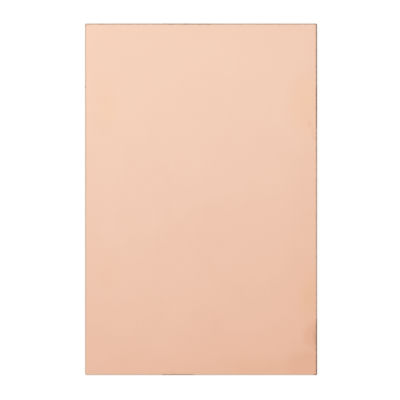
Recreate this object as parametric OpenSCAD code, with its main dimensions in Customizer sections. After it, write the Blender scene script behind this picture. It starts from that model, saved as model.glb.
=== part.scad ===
// Copper clad board: a sheet of glass-epoxy laminate with copper foil bonded to its upper face,
// sheared to size on all four sides.
// The origin is the centre of the underside. +Z points up through the copper, and +Y runs along the length.

/* [Board] */
// Width of the board, along X
board_w = 99; // [40:1:200]
// Length of the board, along Y
board_l = 150; // [60:1:300]
// Thickness of the board over its copper
board_t = 1.6; // [0.8:0.1:3.2]

/* [Copper] */
// Thickness of the foil, 0.035 for one ounce to the square foot
foil_t = 0.035; // [0.018:0.001:0.105]

/* [Sheared edges] */
// Radius of the corners, seen from above
corner_r = 0.5; // [0.2:0.1:2]
// Width of the rim that the shear draws down
roll_w = 0.4; // [0.35:0.05:0.6]
// Depth to which it is drawn down at the edge
roll_h = 0.12; // [0.06:0.01:0.14]
// Height of the clean cut below the drawn rim
cut_h = 0.5; // [0.2:0.05:0.6]
// Distance that the torn wall below the clean cut leans in
tear_w = 0.12; // [0.05:0.01:0.2]

/* [Hidden] */
$fn = 64;

// The drawn rim is an arc that leaves the flat face smoothly and meets the clean cut at an angle.
roll_r = (roll_w * roll_w + roll_h * roll_h) / (2 * roll_h);
// Height of that arc's centre
roll_z = board_t - roll_r;
// Height at which the clean cut ends and the torn wall starts
tear_z = board_t - roll_h - cut_h;
// Distance that the shapes which cut the board to its form run past it
past = roll_r + board_t;

// Small nicks in the rims: the side of the board, the distance from that side's middle, and the radius
LEFT = 0;
RIGHT = 1;
FRONT = 2;
BACK = 3;
nicks = [
    [BACK, -42.1, 0.30], [BACK, -16.0, 0.26], [BACK, -11.5, 0.24], [BACK, -6.4, 0.28], [BACK, -5.4, 0.24],
    [LEFT, 47.9, 0.32], [RIGHT, 71.9, 0.28], [RIGHT, 29.4, 0.26], [RIGHT, 23.5, 0.28], [FRONT, 18.0, 0.28]
];

// Section of all that lies deeper than a given depth under the copper's upper surface. It runs past the walls.
module under_face(width, depth) {
    flat = width / 2 - roll_w;
    arc_r = roll_r - depth;
    for (x = [-flat, flat])
        translate([x, roll_z])
            circle(arc_r);
    translate([-flat, -past])
        square([2 * flat, board_t - depth + past]);
    translate([-flat - arc_r, -past])
        square([2 * (flat + arc_r), roll_z + past]);
}

// Section across the whole board: rolled rims, clean cuts and torn walls
module board_section(width) {
    wall = width / 2;
    intersection() {
        under_face(width, 0);
        polygon([
            [-wall + tear_w, 0], [wall - tear_w, 0], [wall, tear_z],
            [wall, board_t], [-wall, board_t], [-wall, tear_z]
        ]);
    }
}

// What a section across the width and one across the length have in common
module both_ways() {
    intersection() {
        rotate([90, 0, 0])
            linear_extrude(board_l + 2 * past, center = true)
                children(0);
        rotate([90, 0, 90])
            linear_extrude(board_w + 2 * past, center = true)
                children(1);
    }
}

module outline() {
    square([board_w - 2 * corner_r, board_l], center = true);
    square([board_w, board_l - 2 * corner_r], center = true);
    for (x = [-1, 1], y = [-1, 1])
        translate([x * (board_w / 2 - corner_r), y * (board_l / 2 - corner_r)])
            circle(corner_r);
}

module nick(side, along, radius) {
    at = side == LEFT ? [-board_w / 2, along]
        : side == RIGHT ? [board_w / 2, along]
        : side == FRONT ? [along, -board_l / 2]
        : [along, board_l / 2];
    translate([at.x, at.y, board_t])
        sphere(radius);
}

// The whole sheared board, copper included
module board() {
    difference() {
        intersection() {
            both_ways() {
                board_section(board_w);
                board_section(board_l);
            }
            linear_extrude(board_t)
                outline();
        }
        for (n = nicks)
            nick(n[0], n[1], n[2]);
    }
}

// All that lies under the copper, past the walls too
module under_copper() {
    both_ways() {
        under_face(board_w, foil_t);
        under_face(board_l, foil_t);
    }
}

module laminate() {
    color("#c9c08a")
        intersection() {
            board();
            under_copper();
        }
}

module copper_foil() {
    color("#efc8b1")
        difference() {
            board();
            under_copper();
        }
}

laminate();
copper_foil();
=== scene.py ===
# A single-sided copper clad board, lying flat with its copper up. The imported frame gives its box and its
# two nodes, the foil and the laminate. Here both get their fine sheared edges, their torn glass yarns and
# their finishes.

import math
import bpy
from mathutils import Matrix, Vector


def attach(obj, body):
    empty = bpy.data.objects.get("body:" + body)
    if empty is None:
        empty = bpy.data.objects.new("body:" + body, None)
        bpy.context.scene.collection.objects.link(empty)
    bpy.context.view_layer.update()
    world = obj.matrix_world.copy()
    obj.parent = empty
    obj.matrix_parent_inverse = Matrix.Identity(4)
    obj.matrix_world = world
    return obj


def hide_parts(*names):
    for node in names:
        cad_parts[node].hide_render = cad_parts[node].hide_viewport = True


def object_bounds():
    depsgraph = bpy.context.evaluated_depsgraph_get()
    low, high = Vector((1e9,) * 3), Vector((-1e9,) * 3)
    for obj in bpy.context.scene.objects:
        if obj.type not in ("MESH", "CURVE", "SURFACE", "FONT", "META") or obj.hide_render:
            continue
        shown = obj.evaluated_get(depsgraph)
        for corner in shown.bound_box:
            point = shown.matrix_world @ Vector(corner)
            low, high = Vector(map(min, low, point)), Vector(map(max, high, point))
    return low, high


bl_info = {
    "name": "Copper Clad Board",
    "version": (1, 0, 0),
    "blender": (4, 5, 0),
    "location": "View3D > Sidebar > Board",
    "description": "Makes a sheared single-sided copper clad board, its finishes and a plain stage",
    "category": "Object",
}

import bpy
from mathutils import Vector

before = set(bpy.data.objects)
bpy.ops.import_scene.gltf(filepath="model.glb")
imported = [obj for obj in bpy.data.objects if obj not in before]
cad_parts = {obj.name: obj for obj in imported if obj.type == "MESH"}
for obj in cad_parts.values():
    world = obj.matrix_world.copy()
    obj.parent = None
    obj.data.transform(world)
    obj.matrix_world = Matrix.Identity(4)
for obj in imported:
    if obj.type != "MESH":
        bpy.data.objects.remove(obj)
CAD_LOW, CAD_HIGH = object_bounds()
CAD_SIZE = CAD_HIGH - CAD_LOW

MM = 0.001
BODY = "root"

# The kinds of node that are added most, some of them with a setting
MATH = "ShaderNodeMath"
ADD, SUBTRACT, MULTIPLY, DIVIDE, MULTIPLY_ADD, ABSOLUTE, MAXIMUM = (
    (MATH, {"operation": name})
    for name in ("ADD", "SUBTRACT", "MULTIPLY", "DIVIDE", "MULTIPLY_ADD", "ABSOLUTE", "MAXIMUM")
)
VECTOR_MATH = "ShaderNodeVectorMath"
SCALE = (VECTOR_MATH, {"operation": "SCALE"})
MIX = "ShaderNodeMix"
MIX_COLOUR = (MIX, {"data_type": "RGBA"})
MAP_RANGE = "ShaderNodeMapRange"
SMOOTH_RANGE = (MAP_RANGE, {"interpolation_type": "SMOOTHSTEP"})
NOISE = "ShaderNodeTexNoise"
NOISE_4D = (NOISE, {"noise_dimensions": "4D"})
BUMP = "ShaderNodeBump"
RANDOM = "FunctionNodeRandomValue"

# The bounds that a noise seldom leaves, as a Map Range takes them
FROM_NOISE = {"From Min": 0.3, "From Max": 0.7}
# Refractive index of the glass, and of the epoxy round it, which is nearly the same
GLASS_IOR = 1.55

# Places along the rims where the shear nicked them: the side, the distance from that side's middle and the
# radius, in millimetres, as in the part's source, and how dark the colour drawn round it is. One with none
# shows the glass that broke white.
NICKS = [
    ("back", -42.1, 0.30, 0.5),
    ("back", -16.0, 0.26, 0.7),
    ("back", -11.5, 0.24, 0.6),
    ("back", -6.4, 0.28, 1.0),
    ("back", -5.4, 0.24, 0.9),
    ("left", 47.9, 0.32, 0.5),
    ("right", 71.9, 0.28, 0.0),
    ("right", 29.4, 0.26, 0.0),
    ("right", 23.5, 0.28, 0.0),
    ("front", 18.0, 0.28, 0.0),
]

# Marks on the copper and its rims, each with its centre, half width and half length in millimetres and its
# strength: films of finger grease, which are faintly yellow, spots of oxide, a brown smudge, and stretches
# of painted shade along the rims, deepest on the right
GREASE_FILMS = [
    (44.0, 41.0, 9.0, 19.0, 0.42),
    (-40.5, 40.0, 8.0, 16.0, 0.36),
    (-40.5, -31.0, 8.0, 11.0, 0.18),
    (46.5, -40.0, 6.0, 14.0, 0.45),
    (24.0, -71.0, 19.0, 5.0, 0.26),
]
OXIDE_SPOTS = [
    (49.0, -58.0, 6.5, 8.0, 0.65),
    (46.0, -70.0, 12.0, 8.0, 0.35),
    (46.5, 32.6, 1.2, 1.2, 0.35),
    (47.7, 27.0, 1.4, 5.0, 0.20),
]
SMUDGES = [(49.5, -58.5, 2.6, 5.5, 0.25)]
# Painted shade along the rims, in brown: all along the right side, along the back, and in a stretch at the
# front
PAINTED_RIM_SHADE = [
    (49.5, 0.0, 1.5, 400.0, 0.51),
    (49.5, 64.0, 1.5, 16.0, 0.78),
    (49.5, 43.5, 1.5, 6.5, 0.96),
    (49.5, 35.0, 1.5, 4.5, 0.88),
    (49.5, 24.0, 1.5, 9.0, 0.64),
    (49.5, -65.0, 1.5, 15.5, 0.95),
    (0.0, 75.0, 300.0, 1.5, 0.27),
    (-5.5, 75.0, 12.0, 1.5, 0.48),
    (-9.8, -75.0, 7.2, 1.5, 0.50),
]


def linear(hex_colour):
    """An sRGB hex colour, such as #c08040, as linear red, green and blue, and an alpha of 1."""
    channels = [int(hex_colour[i : i + 2], 16) / 255 for i in (1, 3, 5)]
    return [*(c / 12.92 if c <= 0.04045 else ((c + 0.055) / 1.055) ** 2.4 for c in channels), 1.0]


def number_of(name, description, default, **settings):
    """A plain number property."""
    return bpy.props.FloatProperty(name=name, description=description, default=default, **settings)


def length_of(name, description, default):
    """A length property, given in millimetres."""
    return number_of(name, description, default * MM, min=0, unit="LENGTH", precision=5)


def colour_of(name, description, hex_colour):
    """A colour property, given as an sRGB hex colour."""
    default = linear(hex_colour)
    return bpy.props.FloatVectorProperty(
        name=name, description=description, default=default, size=4, subtype="COLOR", min=0, max=1
    )


class BoardSizes(bpy.types.PropertyGroup):
    """The board's sizes: the overall ones come from the frame, and the rest are as in the part's source."""

    width: length_of("Width", "Across the board, along X", CAD_SIZE.x / MM)
    length: length_of("Length", "Along the board, along Y", CAD_SIZE.y / MM)
    thickness: length_of("Thickness", "Over the copper", CAD_SIZE.z / MM)
    foil: length_of("Foil", "Thickness of the copper foil", 0.035)
    corner_radius: length_of("Corner radius", "Radius of the corners, seen from above", 0.5)
    rim_width: length_of("Rim width", "Width of the rim that the shear draws down", 0.4)
    rim_drop: length_of("Rim drop", "Depth to which the rim is drawn down at the edge", 0.12)
    cut_height: length_of("Cut height", "Height of the clean cut below the drawn rim", 0.5)
    tear_lean: length_of("Tear lean", "Distance that the torn wall leans in", 0.12)
    step: length_of("Step", "Distance between mesh points along the edge", 0.2)
    cell: length_of("Cell", "Mesh cell of the flat faces", 3)
    wander: length_of("Wander", "Most that the cut strays inward from a straight line", 0.03)
    seed: bpy.props.IntProperty(name="Seed", description="Seed of the strays, tears and yarns", default=7)


class LaminateStructure(bpy.types.PropertyGroup):
    """The glass cloth in the laminate: eight plies of plain weave, 17.3 yarns by 12.2 to the centimetre."""

    plies: bpy.props.IntProperty(name="Plies", description="Layers of glass cloth", default=8, min=1)
    warp_pitch: length_of("Warp pitch", "Distance between the yarns that run along Y", 0.58)
    weft_pitch: length_of("Weft pitch", "Distance between the yarns that run along X", 0.82)
    yarn_width: length_of("Yarn width", "Width of a flattened yarn", 0.46)
    stand_out: length_of("Stand out", "How far a torn yarn end stands out of the wall", 0.03)
    tear_depth: length_of("Tear depth", "Depth of the pits between the torn yarns", 0.04)


class Finishes(bpy.types.PropertyGroup):
    """Colours of the board's materials."""

    copper: colour_of("Copper", "Clean copper foil", "#f3d0bb")
    # Oxidised copper, and also the dark end of the painted shade on the face
    tarnish_and_shade: colour_of("Tarnish", "Copper with the thin oxide that air leaves", "#e5b499")
    grease: colour_of("Grease", "What a film of finger grease lets through", "#fff9e4")
    # Smeared copper, which also stands for painted shade along the rims
    rim: colour_of("Rim", "Copper smeared along the shear", "#d5baa9")
    # The brown smudge's colour, and that of the brown painted shade along the rims
    brown_and_rim_shade: colour_of("Stain", "Rim copper that has gone brown", "#875f48")
    # A dark colour drawn round some nicks
    darkening: colour_of("Dirt", "Workshop dirt caught in a nick", "#4f3d31")
    resin: colour_of("Resin", "Epoxy between the glass yarns", "#beb474")
    glass: colour_of("Glass", "Glass yarn wetted by epoxy", "#dcd5a8")
    torn_glass: colour_of("Torn glass", "Dry broken glass fibres", "#ebe7d2")


class Stage(bpy.types.PropertyGroup):
    """The camera and lights: the camera looks straight down and frames the board as the picture does."""

    picture: number_of("Picture", "Its sides, in pixels", 400)
    scale: number_of("Scale", "Pixels to a millimetre of the copper face", 2.345)
    centre_x: number_of("Centre X", "Where the board's centre shows, in pixels from the left", 201.03)
    centre_y: number_of("Centre Y", "Where it shows, in pixels from the top", 199.36)
    distance: length_of("Distance", "Camera above the copper", 1000)
    key_power: number_of("Key light", "Power of the soft box", 0.3, unit="POWER")
    key_size: length_of("Key size", "Sides of the soft box", 700)
    room: number_of("Room", "What the room throws on matt surfaces, where 1 is white", 0.99)
    dark_side: number_of("Dark side", "The same from its side behind and to the right", 0.55)


def add(tree, kind, sockets=None, **settings):
    """Adds a node with its settings. A socket gets a value, or a link from an output or a node's first.

    The kind is given alone, or as a pair of the kind and settings that go with it.
    """
    kind, usual = kind if isinstance(kind, tuple) else (kind, {})
    made = tree.nodes.new(kind)
    for name, value in {**usual, **settings}.items():
        setattr(made, name, value)
    for key, value in (sockets or {}).items():
        if isinstance(value, bpy.types.Node):
            value = next(output for output in value.outputs if output.enabled)
        if isinstance(value, bpy.types.NodeSocket):
            tree.links.new(value, made.inputs[key])
        else:
            made.inputs[key].default_value = value
    return made


def new_tree(name, inputs):
    """A Geometry Nodes tree with inputs, given as names and socket kinds, and what they give inside it."""
    tree = bpy.data.node_groups.new(name, "GeometryNodeTree")
    for label, kind in inputs.items():
        tree.interface.new_socket(label, in_out="INPUT", socket_type="NodeSocket" + kind)
    tree.interface.new_socket("Geometry", in_out="OUTPUT", socket_type="NodeSocketGeometry")
    return tree, tree.nodes.new("NodeGroupInput").outputs


OUTLINE_INPUTS = {
    "Width": "Float",
    "Length": "Float",
    "Corner Radius": "Float",
    "Step": "Float",
    "Wander": "Float",
    "Seed": "Int",
}


def outline_tree():
    """The sheared outline from above: a rounded rectangle that strays inward a little from straight."""
    tree, given = new_tree("Sheared outline", OUTLINE_INPUTS)
    points_to_a_corner, strays_to_a_metre = 4, 28
    sides = {"Width": given["Width"], "Height": given["Length"]}
    box = add(tree, "GeometryNodeCurvePrimitiveQuadrilateral", sides)
    corners = {"Curve": box, "Count": points_to_a_corner, "Radius": given["Corner Radius"]}
    rounded = add(tree, "GeometryNodeFilletCurve", corners, mode="POLY")
    even = add(
        tree, "GeometryNodeResampleCurve", {"Curve": rounded, "Length": given["Step"]}, mode="LENGTH"
    )
    stray = add(tree, NOISE_4D, {"W": given["Seed"], "Scale": strays_to_a_metre, "Detail": 3.0})
    amount = add(tree, MULTIPLY, {0: stray, 1: given["Wander"]})
    tangent = add(tree, "GeometryNodeInputTangent")
    inward = add(tree, VECTOR_MATH, {0: (0, 0, 1), 1: tangent}, operation="CROSS_PRODUCT")
    offset = add(tree, SCALE, {0: inward, "Scale": amount})
    strayed = add(tree, "GeometryNodeSetPosition", {"Geometry": even, "Offset": offset})
    upright = add(tree, "GeometryNodeSetCurveNormal", {"Curve": strayed}, mode="Z_UP")
    add(tree, "NodeGroupOutput", {0: upright})
    return tree


def open_edges(tree, height=None):
    """The edges with one face, of those at a height if one is given, as a field."""
    faces = add(tree, "GeometryNodeInputMeshEdgeNeighbors")
    is_open = add(tree, MATH, {0: faces, 1: 1.0, 2: 0.5}, operation="COMPARE")
    if height is None:
        return is_open
    near = 0.01 * MM
    place = add(tree, "ShaderNodeSeparateXYZ", {0: add(tree, "GeometryNodeInputPosition")})
    at_height = add(tree, MATH, {0: place.outputs["Z"], 1: height, 2: near}, operation="COMPARE")
    return add(tree, MULTIPLY, {0: is_open, 1: at_height})


def flat_face_tree():
    """A flat face inside a swept rim: a grid of even cells, and a band of triangles from it to the rim."""
    tree, given = new_tree(
        "Flat face",
        {"Rim": "Geometry", "Width": "Float", "Length": "Float", "Height": "Float", "Cell": "Float"},
    )
    # The grid stops a cell short of the rim all round.
    grid = add(tree, "GeometryNodeMeshGrid")
    for side, count in (("Width", "X"), ("Length", "Y")):
        size = add(tree, MULTIPLY_ADD, {0: given["Cell"], 1: -2.0, 2: given[side]})
        cells = add(tree, DIVIDE, {0: size, 1: given["Cell"]})
        whole_cells = add(tree, MATH, {0: cells}, operation="ROUND")
        points = add(tree, ADD, {0: whole_cells, 1: 1.0})
        tree.links.new(size.outputs[0], grid.inputs["Size " + count])
        tree.links.new(points.outputs[0], grid.inputs["Vertices " + count])
    inner = add(tree, "GeometryNodeMeshToCurve", {"Mesh": grid, "Selection": open_edges(tree)})
    rim_edges = open_edges(tree, given["Height"])
    outer = add(tree, "GeometryNodeMeshToCurve", {"Mesh": given["Rim"], "Selection": rim_edges})
    both = add(tree, "GeometryNodeJoinGeometry", {0: inner})
    tree.links.new(outer.outputs[0], both.inputs[0])
    band = add(tree, "GeometryNodeFillCurve", {"Curve": both}, mode="TRIANGLES")
    joined = add(tree, "GeometryNodeJoinGeometry", {0: grid.outputs["Mesh"]})
    tree.links.new(band.outputs[0], joined.inputs[0])
    lift = add(tree, "ShaderNodeCombineXYZ", {"Z": given["Height"]})
    lifted = add(tree, "GeometryNodeSetPosition", {"Geometry": joined, "Offset": lift})
    add(tree, "NodeGroupOutput", {0: lifted})
    return tree


def sheared_sheet_tree(outline, flat_face):
    """One layer of the board: its section swept round the outline, torn, closed and nicked."""
    tree, given = new_tree(
        "Sheared sheet",
        {
            **OUTLINE_INPUTS,
            "Section": "Object",
            "Upper Height": "Float",
            "Lower Height": "Float",
            "Cell": "Float",
            "Tear Height": "Float",
            "Tear Depth": "Float",
            "Tear Grain": "Vector",
            "Nicks": "Object",
            "Material": "Material",
        },
    )
    path = add(
        tree, "GeometryNodeGroup", {name: given[name] for name in OUTLINE_INPUTS}, node_tree=outline
    )
    section = add(tree, "GeometryNodeObjectInfo", {"Object": given["Section"]})
    swept = add(
        tree, "GeometryNodeCurveToMesh", {"Curve": path, "Profile Curve": section.outputs["Geometry"]}
    )

    # The torn wall is pitted in the grain of the cloth, more the further it is below the clean cut.
    place = add(tree, "GeometryNodeInputPosition")
    height = add(tree, "ShaderNodeSeparateXYZ", {0: place}).outputs["Z"]
    grain = add(tree, VECTOR_MATH, {0: place, 1: given["Tear Grain"]}, operation="DIVIDE")
    pits = add(tree, NOISE_4D, {"Vector": grain, "W": given["Seed"], "Scale": 1.0, "Detail": 2.0})
    # How far the wall goes in and out, in tear depths
    inmost, outmost = -1.0, 0.6
    even_pits = add(tree, MAP_RANGE, {"Value": pits, **FROM_NOISE, "To Min": inmost, "To Max": outmost})
    pits_start, pits_full = 0.02 * MM, 0.2 * MM
    below = add(tree, SUBTRACT, {0: given["Tear Height"], 1: height})
    torn = add(tree, SMOOTH_RANGE, {"Value": below, "From Min": pits_start, "From Max": pits_full})
    depth = add(tree, MULTIPLY, {0: torn, 1: given["Tear Depth"]})
    amount = add(tree, MULTIPLY, {0: even_pits, 1: depth})
    normal = add(tree, "GeometryNodeInputNormal")
    level = add(tree, VECTOR_MATH, {0: normal, 1: (1, 1, 0)}, operation="MULTIPLY")
    offset = add(tree, SCALE, {0: level, "Scale": amount})
    wall = add(tree, "GeometryNodeSetPosition", {"Geometry": swept, "Offset": offset})

    closed = add(tree, "GeometryNodeJoinGeometry", {0: wall})
    for name in ("Upper Height", "Lower Height"):
        sockets = {size: given[size] for size in ("Width", "Length", "Cell")}
        sockets.update({"Rim": wall, "Height": given[name]})
        face = add(tree, "GeometryNodeGroup", sockets, node_tree=flat_face)
        if name == "Lower Height":
            face = add(tree, "GeometryNodeFlipFaces", {"Mesh": face})
        tree.links.new(face.outputs[0], closed.inputs[0])
    weld = 0.001 * MM
    welded = add(tree, "GeometryNodeMergeByDistance", {"Geometry": closed, "Distance": weld})

    # Each nick is an uneven bite out of the rim.
    lump_size, lump_height = 0.25 * MM, 0.12 * MM
    nicks = add(tree, "GeometryNodeObjectInfo", {"Object": given["Nicks"]})
    radius = add(tree, "GeometryNodeInputNamedAttribute", {"Name": "radius"})
    ball = add(tree, "GeometryNodeMeshIcoSphere", {"Subdivisions": 3})
    balls = add(
        tree,
        "GeometryNodeInstanceOnPoints",
        {"Points": nicks.outputs["Geometry"], "Instance": ball.outputs["Mesh"], "Scale": radius},
    )
    lumps = add(tree, NOISE_4D, {"W": given["Seed"], "Scale": 1 / lump_size})
    lump = add(tree, MAP_RANGE, {"Value": lumps, "To Min": -lump_height, "To Max": lump_height})
    swell = add(tree, SCALE, {0: add(tree, "GeometryNodeInputNormal"), "Scale": lump})
    real_balls = add(tree, "GeometryNodeRealizeInstances", {0: balls})
    bites = add(tree, "GeometryNodeSetPosition", {"Geometry": real_balls, "Offset": swell})
    nicked = add(
        tree,
        "GeometryNodeMeshBoolean",
        {"Mesh 1": welded, "Mesh 2": bites},
        operation="DIFFERENCE",
        solver="MANIFOLD",
    )
    smooth = add(tree, "GeometryNodeSetShadeSmooth", {0: nicked})
    sharp_angle = math.radians(40)
    angle = add(tree, "GeometryNodeInputMeshEdgeAngle")
    sharp = add(tree, MATH, {0: angle, 1: sharp_angle}, operation="GREATER_THAN")
    shaded = add(
        tree,
        "GeometryNodeSetShadeSmooth",
        {0: smooth, "Selection": sharp, "Shade Smooth": False},
        domain="EDGE",
    )
    real = add(tree, "GeometryNodeRealizeInstances", {0: shaded})
    done = add(tree, "GeometryNodeSetMaterial", {"Geometry": real, "Material": given["Material"]})
    add(tree, "NodeGroupOutput", {0: done})
    return tree


YARN_INPUTS = {
    "Sheet": "Object",
    "Width": "Float",
    "Length": "Float",
    "Ply": "Float",
    "Rows": "Int",
    "Warp Pitch": "Float",
    "Weft Pitch": "Float",
    "Yarn Width": "Float",
    "Stand Out": "Float",
    "Seed": "Int",
    "Material": "Material",
}


def yarn_ends_tree():
    """Broken yarn ends in rows on the four torn walls, a row to each ply of cloth that was torn."""
    tree, given = new_tree("Torn yarn ends", YARN_INPUTS)
    # Half an end's height, in plies, how far it is off its place, in pitches, and the share that are there
    half_height, jitter_by, share_kept = 0.34, 0.24, 0.85
    smallest, largest = 0.65, 1.1
    seed = given["Seed"]
    sheet = add(tree, "GeometryNodeObjectInfo", {"Object": given["Sheet"]}).outputs["Geometry"]
    gaps = add(tree, ADD, {0: given["Rows"], 1: -1.0})
    height = add(tree, MULTIPLY, {0: gaps, 1: given["Ply"]})
    middle = add(tree, MULTIPLY, {0: given["Rows"], 1: 0.5})
    middle = add(tree, MULTIPLY, {0: middle, 1: given["Ply"]})
    end = add(tree, "GeometryNodeMeshIcoSphere").outputs["Mesh"]
    tall = add(tree, MULTIPLY, {0: given["Ply"], 1: half_height})
    wide = add(tree, MULTIPLY, {0: given["Yarn Width"], 1: 0.5})
    shape = add(tree, "ShaderNodeCombineXYZ", {"X": wide, "Y": given["Stand Out"], "Z": tall})

    walls = add(tree, "GeometryNodeJoinGeometry")
    for quarter in range(4):
        # The weft ends show on the two long walls, and the warp ends on the two short ones.
        across, along, pitch = (
            ("Width", "Length", "Weft Pitch") if quarter % 2 else ("Length", "Width", "Warp Pitch")
        )
        # The rows stop a pitch short of the corners.
        run = add(tree, MULTIPLY_ADD, {0: given[pitch], 1: -2.0, 2: given[along]})
        count = add(tree, DIVIDE, {0: run, 1: given[pitch]})
        grid = add(
            tree,
            "GeometryNodeMeshGrid",
            {"Size X": run, "Size Y": height, "Vertices X": count, "Vertices Y": given["Rows"]},
        )
        turn = quarter * math.pi / 2
        out = add(tree, MULTIPLY, {0: given[across], 1: 0.5})
        outward = (math.sin(turn), -math.cos(turn), 0)
        aside = add(tree, SCALE, {0: outward, "Scale": out})
        raised = add(tree, "ShaderNodeCombineXYZ", {"Z": middle})
        moved = add(tree, VECTOR_MATH, {0: aside, 1: raised}, operation="ADD")
        wall = add(
            tree,
            "GeometryNodeTransform",
            {"Geometry": grid.outputs["Mesh"], "Translation": moved, "Rotation": (math.pi / 2, 0, turn)},
        )
        far = add(tree, SCALE, {0: (jitter_by, jitter_by, 0), "Scale": given[pitch]})
        near = add(tree, SCALE, {0: far, "Scale": -1.0})
        jitter = add(tree, RANDOM, {0: near, 1: far, "Seed": seed}, data_type="FLOAT_VECTOR")
        uneven = add(tree, "GeometryNodeSetPosition", {"Geometry": wall, "Offset": jitter})
        on_wall = add(tree, "GeometryNodeProximity", {0: sheet}, target_element="FACES")
        snapped = add(
            tree, "GeometryNodeSetPosition", {"Geometry": uneven, "Position": on_wall.outputs["Position"]}
        )
        kept = add(tree, RANDOM, {"Probability": share_kept, "Seed": seed}, data_type="BOOLEAN")
        swell = add(tree, RANDOM, {2: smallest, 3: largest, "Seed": seed}, data_type="FLOAT")
        scale = add(tree, SCALE, {0: shape, "Scale": swell})
        ends = add(
            tree,
            "GeometryNodeInstanceOnPoints",
            {
                "Points": snapped,
                "Selection": kept,
                "Instance": end,
                "Rotation": (0, 0, turn),
                "Scale": scale,
            },
        )
        tree.links.new(ends.outputs[0], walls.inputs[0])
    real = add(tree, "GeometryNodeRealizeInstances", {0: walls})
    smooth = add(tree, "GeometryNodeSetShadeSmooth", {0: real})
    done = add(tree, "GeometryNodeSetMaterial", {"Geometry": smooth, "Material": given["Material"]})
    add(tree, "NodeGroupOutput", {0: done})
    return tree


def placed(name, data):
    """A new object in the scene with the given data."""
    made = bpy.data.objects.new(name, data)
    bpy.context.scene.collection.objects.link(made)
    return made


def made_by(name, tree, inputs):
    """A plain mesh object made by a Geometry Nodes tree, with the tree's inputs given by name."""
    piece = placed(name, bpy.data.meshes.new(name))
    modifier = piece.modifiers.new(tree.name, "NODES")
    modifier.node_group = tree
    sockets = {item.name: item.identifier for item in tree.interface.items_tree if item.in_out == "INPUT"}
    for label, value in inputs.items():
        modifier[sockets[label]] = value
    graph = bpy.context.evaluated_depsgraph_get()
    mesh = bpy.data.meshes.new_from_object(piece.evaluated_get(graph), depsgraph=graph)
    piece.modifiers.clear()
    piece.data = mesh
    mesh.name = name

    # Joining and cutting leave an empty material slot before the one that is used.
    mesh.materials.clear()
    mesh.materials.append(inputs["Material"])
    mesh.polygons.foreach_set("material_index", [0] * len(mesh.polygons))
    return piece


def rim_arc(sizes, depth, steps):
    """The drawn rim at a depth below the copper's face, from the flat to the cut, as (out, up) points."""
    roll = (sizes.rim_width**2 + sizes.rim_drop**2) / (2 * sizes.rim_drop)
    radius = roll - depth
    reach = math.asin(sizes.rim_width / radius)
    angles = [reach * i / steps for i in range(steps + 1)]
    middle = sizes.thickness - roll
    return [(radius * math.sin(a) - sizes.rim_width, middle + radius * math.cos(a)) for a in angles]


def foil_section(sizes):
    """The foil's section at the rim: out over its upper face and back along its underside."""
    steps = 6
    return rim_arc(sizes, 0, steps) + rim_arc(sizes, sizes.foil, steps)[::-1]


def tear_height(sizes):
    """Height at which the clean cut ends and the torn wall starts."""
    return sizes.thickness - sizes.rim_drop - sizes.cut_height


def laminate_section(sizes):
    """The laminate's section at the rim: out under the foil, down the clean cut and down the torn wall."""
    steps, rows = 3, 14
    top = tear_height(sizes)
    torn = [(-sizes.tear_lean * i / rows, top * (1 - i / rows)) for i in range(rows + 1)]
    return rim_arc(sizes, sizes.foil, steps) + torn


def section_curve(name, points):
    """An open line to sweep, with X outward and Y down, as it lies along an anticlockwise path."""
    curve = bpy.data.curves.new(name, "CURVE")
    curve.dimensions = "3D"
    line = curve.splines.new("POLY")
    line.points.add(len(points) - 1)
    for point, (out, up) in zip(line.points, points):
        point.co = (out, -up, 0, 1)
    return placed(name, curve)


def nick_place(sizes, side, along):
    """Where a nick's middle is: on the board's outline, halfway down the drawn rim."""
    x, y = sizes.width / 2, sizes.length / 2
    places = {"left": (-x, along), "right": (x, along), "front": (along, -y), "back": (along, y)}
    return (*places[side], sizes.thickness - sizes.rim_drop / 2)


def nick_points(sizes):
    """The nicks' places, as points that carry their radius."""
    mesh = bpy.data.meshes.new("nicks")
    mesh.from_pydata([nick_place(sizes, side, along * MM) for side, along, *_ in NICKS], [], [])
    radius = mesh.attributes.new("radius", "FLOAT", "POINT")
    radius.data.foreach_set("value", [nick[2] * MM for nick in NICKS])
    return placed("nicks", mesh)


def values_of(group, labels):
    """Some of a group's settings, under the labels that a tree's inputs have."""
    return {label: getattr(group, label.lower().replace(" ", "_")) for label in labels}


def sheared_sheet(name, section, upper, lower, tear_depth, material):
    """A layer of the board with the given section, between two heights."""
    sizes, laminate = bpy.context.scene.board_sizes, bpy.context.scene.board_laminate
    helpers = [section_curve("section", section), nick_points(sizes)]
    piece = made_by(
        name,
        sheared_sheet_tree(outline_tree(), flat_face_tree()),
        {
            **values_of(sizes, [*OUTLINE_INPUTS, "Cell"]),
            "Section": helpers[0],
            "Upper Height": upper,
            "Lower Height": lower,
            "Tear Height": tear_height(sizes),
            "Tear Depth": tear_depth,
            "Tear Grain": (laminate.warp_pitch, laminate.weft_pitch, sizes.thickness / laminate.plies),
            "Nicks": helpers[1],
            "Material": material,
        },
    )
    for helper in helpers:
        bpy.data.objects.remove(helper)
    return piece


def new_material(name):
    """A material and its node tree, emptied."""
    material = bpy.data.materials.new(name)
    material.use_nodes = True
    material.node_tree.nodes.clear()
    return material, material.node_tree


def edge_distance(tree, axes, sizes):
    """How far a place is from the nearest side of the board."""
    to_sides = []
    for axis, size in (("X", sizes.width), ("Y", sizes.length)):
        off_centre = add(tree, ABSOLUTE, {0: axes.outputs[axis]})
        to_sides.append(add(tree, SUBTRACT, {0: size / 2, 1: off_centre}))
    return add(tree, MATH, {0: to_sides[0], 1: to_sides[1]}, operation="MINIMUM")


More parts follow.
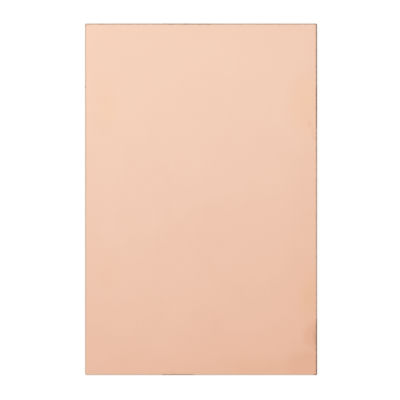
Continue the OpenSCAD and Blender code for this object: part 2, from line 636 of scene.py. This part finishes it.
def marks_at(tree, place, marks, shift, core=0.0, height=None):
    """How strong a place's marks are: ovals that noise shifts, and that fade outside a core share of them.

    They mark all that lies under them, or, if a height is given, they are round lumps about that height.
    """
    blot, faded = 7 * MM, 1.1
    noise = add(tree, NOISE, {"Vector": place, "Scale": 1 / blot, "Detail": 3.0})
    uneven = add(tree, VECTOR_MATH, {0: noise.outputs["Color"], 1: (0.5, 0.5, 0.5)}, operation="SUBTRACT")
    shifted = add(
        tree, VECTOR_MATH, {0: uneven, 1: (shift, shift, 0), 2: place}, operation="MULTIPLY_ADD"
    )
    strongest = None
    for x, y, half_width, half_length, strength in marks:
        middle = (x * MM, y * MM, height or 0)
        offset = add(tree, VECTOR_MATH, {0: shifted, 1: middle}, operation="SUBTRACT")
        upright = 1 / (half_width * MM) if height else 0
        scaled = add(
            tree,
            VECTOR_MATH,
            {0: offset, 1: (1 / (half_width * MM), 1 / (half_length * MM), upright)},
            operation="MULTIPLY",
        )
        from_middle = add(tree, VECTOR_MATH, {0: scaled}, operation="LENGTH").outputs["Value"]
        mark = add(
            tree,
            SMOOTH_RANGE,
            {"Value": from_middle, "From Min": core, "From Max": faded, "To Min": strength, "To Max": 0.0},
        )
        if strongest:
            mark = add(tree, MAXIMUM, {0: strongest, 1: mark})
        strongest = mark
    return strongest


def nick_marks(tree, place, sizes, darkened):
    """How strongly the nicks mark a place: those drawn darker round about, or else those that show white
    glass.
    """
    # The darkening reaches further round a nick than the broken glass in one without it.
    reach = 1.8 if darkened else 1.3
    marks = []
    for side, along, radius, darkening in NICKS:
        if bool(darkening) == darkened:
            x, y, height = nick_place(sizes, side, along * MM)
            marks.append((x / MM, y / MM, radius * reach, radius * reach, darkening or 1.0))
    return marks_at(tree, place, marks, shift=0.3 * MM, core=0.4, height=height)


def weave_height(tree, axes, laminate):
    """The crowns of the plain weave, from -1 to 1: the warp passes over and under the weft by turns."""
    waves = []
    for axis, pitch in (("X", laminate.warp_pitch), ("Y", laminate.weft_pitch)):
        turns = add(tree, MULTIPLY, {0: axes.outputs[axis], 1: math.pi / pitch})
        waves.append(add(tree, MATH, {0: turns}, operation="SINE"))
    return add(tree, MULTIPLY, {0: waves[0], 1: waves[1]})


def cloth_section(tree, axes, laminate, sizes):
    """Where a cut through the cloth shows glass, from 0 to 1.

    Each ply shows the lens-shaped ends of the yarns that run into the wall, and a yarn that runs along it
    and waves over and under them.
    """
    # How far a yarn waves up and down, and half an end's height, in plies
    swing, half_end = 0.24, 0.22
    # Where a yarn that runs along the wall fades out, in plies, and where an end does, in halves of it
    running_fades, end_fades = (0.09, 0.16), (0.8, 1.05)
    to_long_wall = add(tree, ABSOLUTE, {0: axes.outputs["X"]})
    on_long_wall = add(tree, MATH, {0: to_long_wall, 1: sizes.width / 2 - MM}, operation="GREATER_THAN")
    pitch = add(tree, MIX, {0: on_long_wall, 2: laminate.warp_pitch, 3: laminate.weft_pitch})
    plies_up = add(
        tree, MULTIPLY, {0: axes.outputs["Z"], 1: laminate.plies / (sizes.thickness - sizes.foil)}
    )
    ply = add(tree, MATH, {0: plies_up}, operation="FLOOR")
    up = add(tree, SUBTRACT, {0: plies_up, 1: ply})
    up = add(tree, ADD, {0: up, 1: -0.5})

    # X + Y runs along every wall. Each ply lies a share of a yarn further along than the one under it.
    lag = 0.37
    run = add(tree, ADD, {0: axes.outputs["X"], 1: axes.outputs["Y"]})
    yarns = add(tree, DIVIDE, {0: run, 1: pitch.outputs[0]})
    yarns = add(tree, MULTIPLY_ADD, {0: ply, 1: lag, 2: yarns})
    turns = add(tree, MULTIPLY, {0: yarns, 1: math.pi})
    wave = add(tree, MATH, {0: turns}, operation="SINE")

    above_running = add(tree, MULTIPLY_ADD, {0: wave, 1: -swing, 2: up})
    off_running = add(tree, ABSOLUTE, {0: above_running})
    above_end = add(tree, MULTIPLY_ADD, {0: wave, 1: swing, 2: up})
    beside_end = add(tree, MATH, {0: yarns}, operation="FRACT")
    beside_end = add(tree, ADD, {0: beside_end, 1: -0.5})
    beside_end = add(tree, MULTIPLY, {0: beside_end, 1: pitch.outputs[0]})
    sideways = add(tree, DIVIDE, {0: beside_end, 1: laminate.yarn_width / 2})
    upward = add(tree, DIVIDE, {0: above_end, 1: half_end})
    from_end = add(tree, "ShaderNodeCombineXYZ", {"X": sideways, "Y": upward})
    out_of_end = add(tree, VECTOR_MATH, {0: from_end}, operation="LENGTH").outputs["Value"]
    masks = [
        add(
            tree,
            SMOOTH_RANGE,
            {"Value": distance, "From Min": inner, "From Max": outer, "To Min": 1.0, "To Max": 0.0},
        )
        for distance, (inner, outer) in ((off_running, running_fades), (out_of_end, end_fades))
    ]
    return add(tree, MAXIMUM, {0: masks[0], 1: masks[1]})


def copper_material():
    """Electrodeposited copper foil, grown on a turning drum and pressed onto the laminate.

    The drum leaves a satin face with fine lines along the sheet, so the eye sees a soft, even sheen with no
    sharp reflection. The cloth under it shows through as the faintest relief. Painted shade makes it darker
    and redder towards the front and the right, and air and fingers have reddened its edges. The shear has
    smeared and dulled its rims, whose colour also carries painted shade, deepest along the right side.
    """
    material, tree = new_material("electrodeposited_copper_foil")
    scene = bpy.context.scene
    sizes, colours = scene.board_sizes, scene.board_finishes
    place = add(tree, "ShaderNodeTexCoord").outputs["Object"]
    axes = add(tree, "ShaderNodeSeparateXYZ", {0: place})
    from_edge = edge_distance(tree, axes, sizes)

    # Oxide and painted shade, from 0 for fresh foil to 1: the sum of a slope along the board and one across
    # it, which are painted shade, a margin of oxide along the edges, spots and clouds
    # The slopes along and across the board are painted shade: the face darker and redder towards the front
    # and the right
    front_shade, front_bend, side_shade = 0.72, 1.5, 0.1
    margin_width, margin_oxide = 14 * MM, 0.06
    clouds = ((30 * MM, 0.10), (7 * MM, 0.05))
    forward = add(
        tree,
        MAP_RANGE,
        {"Value": axes.outputs["Y"], "From Min": sizes.length / 2, "From Max": -sizes.length / 2},
    )
    along = add(tree, MATH, {0: forward, 1: front_bend}, operation="POWER")
    oxide_and_shade = add(tree, MULTIPLY, {0: along, 1: front_shade})
    across = add(
        tree,
        MAP_RANGE,
        {
            "Value": axes.outputs["X"],
            "From Min": -sizes.width / 2,
            "From Max": sizes.width / 2,
            "To Min": -side_shade,
            "To Max": side_shade,
        },
    )
    margin = add(
        tree,
        SMOOTH_RANGE,
        {"Value": from_edge, "From Max": margin_width, "To Min": margin_oxide, "To Max": 0.0},
    )
    layers = [across, margin, marks_at(tree, place, OXIDE_SPOTS, shift=4 * MM)]
    for cloud_size, most in clouds:
        cloud = add(tree, NOISE, {"Vector": place, "Scale": 1 / cloud_size, "Detail": 3.0})
        layers.append(add(tree, MAP_RANGE, {"Value": cloud, "To Min": -most, "To Max": most}))
    for layer in layers:
        oxide_and_shade = add(tree, ADD, {0: oxide_and_shade, 1: layer})

    # The drum's lines are about 0.05 mm apart. They are drawn 0.3 mm apart, or they would not show at all.
    line_gap, line_length, line_oxide = 0.3 * MM, 25 * MM, 0.05
    stretched = add(
        tree, VECTOR_MATH, {0: place, 1: (1 / line_gap, 1 / line_length, 1 / MM)}, operation="MULTIPLY"
    )
    lines = add(tree, NOISE, {"Vector": stretched, "Scale": 1.0, "Detail": 2.0})
    streaks = add(tree, MAP_RANGE, {"Value": lines, "To Min": -line_oxide, "To Max": line_oxide})
    oxide_and_shade = add(tree, ADD, {0: streaks, 1: oxide_and_shade}, use_clamp=True)
    # From copper to tarnish by oxide and painted shade; the tarnish colour is also the painted shade's dark
    # end
    bare = add(tree, MIX_COLOUR, {0: oxide_and_shade, 6: colours.copper, 7: colours.tarnish_and_shade}).outputs[2]
    greasy = marks_at(tree, place, GREASE_FILMS, shift=6 * MM)
    colour = add(
        tree, MIX_COLOUR, {0: greasy, 6: bare, 7: colours.grease}, blend_type="MULTIPLY"
    ).outputs[2]

    # The smeared rim, uneven on its inner side. Its colour is smeared copper and painted shade, and over it
    # lie stretches of browner painted shade, deepest along the right side
    grain_size, ragged_by = 1.5 * MM, 0.1 * MM
    grain = add(tree, NOISE, {"Vector": place, "Scale": 1 / grain_size, "Detail": 4.0})
    ragged = add(
        tree, MAP_RANGE, {"Value": grain, **FROM_NOISE, "To Min": -ragged_by, "To Max": ragged_by}
    )
    to_rim = add(tree, ADD, {0: from_edge, 1: ragged})
    smeared, clean = sizes.rim_width * 0.7, sizes.rim_width * 1.8
    rim = add(
        tree,
        SMOOTH_RANGE,
        {"Value": to_rim, "From Min": smeared, "From Max": clean, "To Min": 1.0, "To Max": 0.0},
    )
    # Painted shade: the rim browner in stretches, deepest along the right side
    painted_rim_shade = marks_at(tree, place, PAINTED_RIM_SHADE, shift=MM, core=0.85)
    brown_and_rim_shade = add(tree, MULTIPLY, {0: rim, 1: painted_rim_shade})
    # Laid over in turn: the brown smudge, the rim's colour of smear and painted shade, the brown painted
    # shade on the rim, and the dark round some nicks
    for cover, tone in (
        (marks_at(tree, place, SMUDGES, shift=MM), colours.brown_and_rim_shade),
        (rim, colours.rim),
        (brown_and_rim_shade, colours.brown_and_rim_shade),
        (nick_marks(tree, place, sizes, darkened=True), colours.darkening),
    ):
        colour = add(tree, MIX_COLOUR, {0: cover, 6: colour, 7: tone}).outputs[2]

    # The roughness of fresh foil, and what oxide with the painted shade's slopes, and the smear of the rim,
    # add to it
    fresh, from_oxide_and_shade, from_smear = 0.35, 0.08, 0.12
    dulled_by_oxide_and_shade = add(tree, MULTIPLY_ADD, {0: oxide_and_shade, 1: from_oxide_and_shade, 2: fresh})
    roughness = add(tree, MULTIPLY_ADD, {0: rim, 1: from_smear, 2: dulled_by_oxide_and_shade})

    # The drum's lines, about half a micrometre deep, are drawn as much deeper as they are coarser, so that
    # their slopes are the real ones. The cloth's crowns stand 3 micrometres above its hollows.
    line_depth, crown_height = 0.004 * MM, 0.0015 * MM
    weave = weave_height(tree, axes, scene.board_laminate)
    lines_bump = add(tree, BUMP, {"Height": lines, "Distance": line_depth})
    relief = add(tree, BUMP, {"Height": weave, "Distance": crown_height, "Normal": lines_bump})
    shader = add(
        tree,
        "ShaderNodeBsdfPrincipled",
        {"Base Color": colour, "Metallic": 1.0, "Roughness": roughness, "Normal": relief},
    )
    add(tree, "ShaderNodeOutputMaterial", {"Surface": shader})
    return material


def laminate_material():
    """Glass cloth in epoxy, pressed in a hot press and cut by a shear.

    The press leaves the underside smooth, with the weave showing pale in the clear yellow-green resin. The
    shear leaves a band of clean cut, where the ends of the yarns and the resin between them are sliced, and
    under it a torn wall, which broken glass makes rough and whitish.
    """
    material, tree = new_material("glass_epoxy_laminate")
    scene = bpy.context.scene
    sizes, laminate, colours = scene.board_sizes, scene.board_laminate, scene.board_finishes
    place = add(tree, "ShaderNodeTexCoord").outputs["Object"]
    axes = add(tree, "ShaderNodeSeparateXYZ", {0: place})
    weave = weave_height(tree, axes, laminate)

    # Underside: yarn crowns pale, resin between them darker, and the whole a little cloudy
    cloud_size, crown_contrast = 9 * MM, 0.3
    cloud = add(tree, NOISE, {"Vector": place, "Scale": 1 / cloud_size, "Detail": 4.0})
    cloudy = add(tree, MAP_RANGE, {"Value": cloud, "To Min": 0.3, "To Max": 0.9})
    crown = add(tree, MULTIPLY_ADD, {0: weave, 1: crown_contrast, 2: cloudy}, use_clamp=True)
    pressed, colour = (
        add(tree, MIX_COLOUR, {0: glassy, 6: colours.resin, 7: colours.glass}).outputs[2]
        for glassy in (crown, cloth_section(tree, axes, laminate, sizes))
    )

    # The torn wall, whitened by broken glass, with a ragged upper end
    break_size, ragged_by = 0.5 * MM, 0.1 * MM
    all_torn, none_torn = tear_height(sizes) - 0.1 * MM, tear_height(sizes) + 0.05 * MM
    broken = add(tree, NOISE, {"Vector": place, "Scale": 1 / break_size, "Detail": 5.0})
    stray = add(
        tree, MAP_RANGE, {"Value": broken, **FROM_NOISE, "To Min": -ragged_by, "To Max": ragged_by}
    )
    height = add(tree, ADD, {0: axes.outputs["Z"], 1: stray})
    torn = add(
        tree,
        SMOOTH_RANGE,
        {"Value": height, "From Min": all_torn, "From Max": none_torn, "To Min": 1.0, "To Max": 0.0},
    )
    whitening = add(tree, MAP_RANGE, {"Value": broken, "To Min": 0.2, "To Max": 1.0})
    white = add(tree, MULTIPLY, {0: torn, 1: whitening})

    # The underside is what lies within a hair of the floor and away from the torn wall's foot.
    hair, away = 0.01 * MM, 0.5 * MM
    low = add(
        tree, MAP_RANGE, {"Value": axes.outputs["Z"], "From Max": hair, "To Min": 1.0, "To Max": 0.0}
    )
    inside = add(
        tree,
        SMOOTH_RANGE,
        {
            "Value": edge_distance(tree, axes, sizes),
            "From Min": sizes.tear_lean,
            "From Max": sizes.tear_lean + away,
        },
    )
    under = add(tree, MULTIPLY, {0: low, 1: inside})

    # The cut cloth shows where none of these covers it.
    for cover, tone in (
        (white, colours.torn_glass),
        (under, pressed),
        (nick_marks(tree, place, sizes, darkened=False), colours.torn_glass),
        # Darker round some nicks
        (nick_marks(tree, place, sizes, darkened=True), colours.darkening),
    ):
        colour = add(tree, MIX_COLOUR, {0: cover, 6: colour, 7: tone}).outputs[2]

    # The roughness of the clean cut, what tearing adds to it, and the roughness of the pressed underside
    clean_cut, from_tear, underside = 0.45, 0.35, 0.28
    on_walls = add(tree, MULTIPLY_ADD, {0: torn, 1: from_tear, 2: clean_cut})
    roughness = add(tree, MIX, {0: under, 2: on_walls, 3: underside})
    splinter_height, crown_height = 0.06 * MM, 0.004 * MM
    torn_relief = add(tree, MULTIPLY, {0: broken, 1: torn})
    rough_bump = add(tree, BUMP, {"Height": torn_relief, "Distance": splinter_height, "Strength": 0.8})
    under_relief = add(tree, MULTIPLY, {0: weave, 1: under})
    relief = add(tree, BUMP, {"Height": under_relief, "Distance": crown_height, "Normal": rough_bump})
    shader = add(
        tree,
        "ShaderNodeBsdfPrincipled",
        {"Base Color": colour, "Roughness": roughness.outputs[0], "Normal": relief, "IOR": GLASS_IOR},
    )
    add(tree, "ShaderNodeOutputMaterial", {"Surface": shader})
    return material


def yarn_material():
    """Bundles of glass fibre broken across: no gloss, and whitish, as the dry fibres scatter the light."""
    material, tree = new_material("broken_glass_yarn")
    colours = bpy.context.scene.board_finishes
    place = add(tree, "ShaderNodeTexCoord").outputs["Object"]
    # A fibre is 0.009 mm thick. The bundles are drawn in tufts of 0.12 mm, which is as fine as can show.
    tuft_size, tuft_height = 0.12 * MM, 0.02 * MM
    tufts = add(tree, NOISE, {"Vector": place, "Scale": 1 / tuft_size, "Detail": 3.0})
    wetted = add(tree, MAP_RANGE, {"Value": tufts, "From Min": 0.35, "From Max": 0.65})
    colour = add(tree, MIX_COLOUR, {0: wetted, 6: colours.glass, 7: colours.torn_glass}).outputs[2]
    relief = add(tree, BUMP, {"Height": tufts, "Distance": tuft_height, "Strength": 0.7})
    shader = add(
        tree,
        "ShaderNodeBsdfPrincipled",
        {"Base Color": colour, "Roughness": 0.8, "Normal": relief, "IOR": GLASS_IOR},
    )
    add(tree, "ShaderNodeOutputMaterial", {"Surface": shader})
    return material


class MakeFoil(bpy.types.Operator):
    """Makes the copper foil"""

    bl_idname = "board.make_foil"
    bl_label = "Copper Foil"

    def execute(self, context):
        sizes = context.scene.board_sizes
        foil = sheared_sheet(
            "foil_sheet",
            foil_section(sizes),
            upper=sizes.thickness,
            lower=sizes.thickness - sizes.foil,
            tear_depth=0.0,
            material=copper_material(),
        )
        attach(foil, BODY)
        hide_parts("copper_foil")
        return {"FINISHED"}


class MakeLaminate(bpy.types.Operator):
    """Makes the glass-epoxy laminate under the foil"""

    bl_idname = "board.make_laminate"
    bl_label = "Laminate"

    def execute(self, context):
        sizes = context.scene.board_sizes
        sheet = sheared_sheet(
            "laminate_sheet",
            laminate_section(sizes),
            upper=sizes.thickness - sizes.foil,
            lower=0.0,
            tear_depth=context.scene.board_laminate.tear_depth,
            material=laminate_material(),
        )
        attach(sheet, BODY)
        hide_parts("laminate")
        return {"FINISHED"}


class MakeYarnEnds(bpy.types.Operator):
    """Makes the broken yarn ends on the torn walls"""

    bl_idname = "board.make_yarn_ends"
    bl_label = "Yarn Ends"

    def execute(self, context):
        sizes, laminate = context.scene.board_sizes, context.scene.board_laminate
        ply = (sizes.thickness - sizes.foil) / laminate.plies
        ends = made_by(
            "torn_yarn_ends",
            yarn_ends_tree(),
            {
                **values_of(sizes, ["Width", "Length", "Seed"]),
                **values_of(laminate, ["Warp Pitch", "Weft Pitch", "Yarn Width", "Stand Out"]),
                "Sheet": bpy.data.objects["laminate_sheet"],
                "Ply": ply,
                "Rows": int(tear_height(sizes) / ply),
                "Material": yarn_material(),
            },
        )
        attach(ends, BODY)
        return {"FINISHED"}


def shows_background(tree):
    """1 for rays that show the white background, the camera's and those that metal or glass sends on."""
    path = add(tree, "ShaderNodeLightPath")
    shown = path.outputs["Is Camera Ray"]
    for kind in ("Is Glossy Ray", "Is Transmission Ray"):
        shown = add(tree, MAXIMUM, {0: shown, 1: path.outputs[kind]})
    return shown


def make_world(stage):
    """A white room: it shows as pure white, and lights matt surfaces less from the right and back."""
    world = bpy.data.worlds.new("white_room")
    world.use_nodes = True
    tree = world.node_tree
    tree.nodes.clear()
    bright_side = Vector((-0.85, -0.35, 0.4)).normalized()
    # How far round towards the bright side, from -1 to 1, the dark side ends and the full light starts
    dark_to, bright_from = -0.55, 0.3
    direction = add(tree, "ShaderNodeTexCoord").outputs["Generated"]
    towards = add(
        tree, VECTOR_MATH, {0: direction, 1: bright_side}, operation="DOT_PRODUCT"
    ).outputs["Value"]
    shade = add(
        tree,
        SMOOTH_RANGE,
        {
            "Value": towards,
            "From Min": dark_to,
            "From Max": bright_from,
            "To Min": stage.dark_side,
            "To Max": stage.room,
        },
    )
    lit = add(tree, "ShaderNodeBackground", {"Color": (1, 1, 1, 1), "Strength": shade})
    white = add(tree, "ShaderNodeBackground", {"Color": (1, 1, 1, 1), "Strength": 1.0})
    room = add(tree, "ShaderNodeMixShader", {0: shows_background(tree), 1: lit, 2: white})
    add(tree, "ShaderNodeOutputWorld", {"Surface": room})
    bpy.context.scene.world = world


def floor_material():
    """Matt white paper: it throws light on the board's walls, shows as white and keeps a faint shadow."""
    material, tree = new_material("matt_white_paper")
    # As seen, most of its white is the lift, so that the shadow stays as faint as in the picture.
    lift_strength, real_paper, seen_paper = 0.74, linear("#e6e6e6"), linear("#9a9a9a")
    seen = shows_background(tree)
    glow = add(tree, MULTIPLY, {0: seen, 1: lift_strength})
    lift = add(tree, "ShaderNodeEmission", {"Color": (1, 1, 1, 1), "Strength": glow})
    colour = add(tree, MIX_COLOUR, {0: seen, 6: real_paper, 7: seen_paper}).outputs[2]
    paper = add(tree, "ShaderNodeBsdfDiffuse", {"Color": colour})
    both = add(tree, "ShaderNodeAddShader", {0: paper, 1: lift})
    add(tree, "ShaderNodeOutputMaterial", {"Surface": both})
    return material


class MakeStage(bpy.types.Operator):
    """Makes the floor, the lights and the camera"""

    bl_idname = "board.make_stage"
    bl_label = "Stage"

    def execute(self, context):
        scene = context.scene
        stage, sizes = scene.board_stage, scene.board_sizes
        scene.view_settings.view_transform = "Standard"
        make_world(stage)

        # Half the floor's side, in metres, and how far under the board it lies
        half, gap = 4.0, 0.02 * MM
        mesh = bpy.data.meshes.new("floor")
        corners = [(-half, -half, -gap), (half, -half, -gap), (half, half, -gap), (-half, half, -gap)]
        mesh.from_pydata(corners, [], [(0, 1, 2, 3)])
        mesh.materials.append(floor_material())
        placed("floor", mesh)

        # The soft box hangs high up, behind and to the left.
        key = bpy.data.lights.new("soft_box", "AREA")
        key.energy = stage.key_power
        key.size = stage.key_size
        box = placed("soft_box", key)
        box.location = (-0.45, 0.40, 0.95)
        box.rotation_euler = (-box.location).to_track_quat("-Z", "Y").to_euler()

        # The picture's middle is off the board's centre, so the camera stands that far to the side.
        camera = bpy.data.cameras.new("camera")
        metres_to_pixel = MM / stage.scale
        camera.lens = camera.sensor_width * stage.distance / (stage.picture * metres_to_pixel)
        camera.clip_end = 20
        eye = placed("camera", camera)
        eye.location = (
            (stage.picture / 2 - stage.centre_x) * metres_to_pixel,
            (stage.centre_y - stage.picture / 2) * metres_to_pixel,
            sizes.thickness + stage.distance,
        )
        scene.camera = eye
        return {"FINISHED"}


class BoardPanel(bpy.types.Panel):
    """The board's sizes and colours, and a button for each piece"""

    bl_idname = "VIEW3D_PT_copper_clad_board"
    bl_label = "Copper Clad Board"
    bl_space_type = "VIEW_3D"
    bl_region_type = "UI"
    bl_category = "Board"

    def draw(self, context):
        for name, (_, operators) in SECTIONS.items():
            column = self.layout.box().column()
            group = getattr(context.scene, name)
            for label in group.__annotations__:
                column.prop(group, label)
            for operator in operators:
                column.operator(operator.bl_idname)


# The groups of settings that each scene gets, with the operators that are shown under each
SECTIONS = {
    "board_stage": (Stage, [MakeStage]),
    "board_sizes": (BoardSizes, [MakeFoil, MakeLaminate]),
    "board_laminate": (LaminateStructure, [MakeYarnEnds]),
    "board_finishes": (Finishes, []),
}
CLASSES = [made for group, operators in SECTIONS.values() for made in (group, *operators)] + [BoardPanel]


def register():
    """Registers the classes and gives each scene its settings."""
    for made in CLASSES:
        bpy.utils.register_class(made)
    for name, (group, _) in SECTIONS.items():
        setattr(bpy.types.Scene, name, bpy.props.PointerProperty(type=group))


def unregister():
    """Takes back what register added."""
    for name in SECTIONS:
        delattr(bpy.types.Scene, name)
    for made in reversed(CLASSES):
        bpy.utils.unregister_class(made)


def main():
    """Makes the stage and each piece in turn."""
    register()
    bpy.ops.board.make_stage()
    bpy.ops.board.make_foil()
    bpy.ops.board.make_laminate()
    bpy.ops.board.make_yarn_ends()


if __name__ == "__main__":
    main()
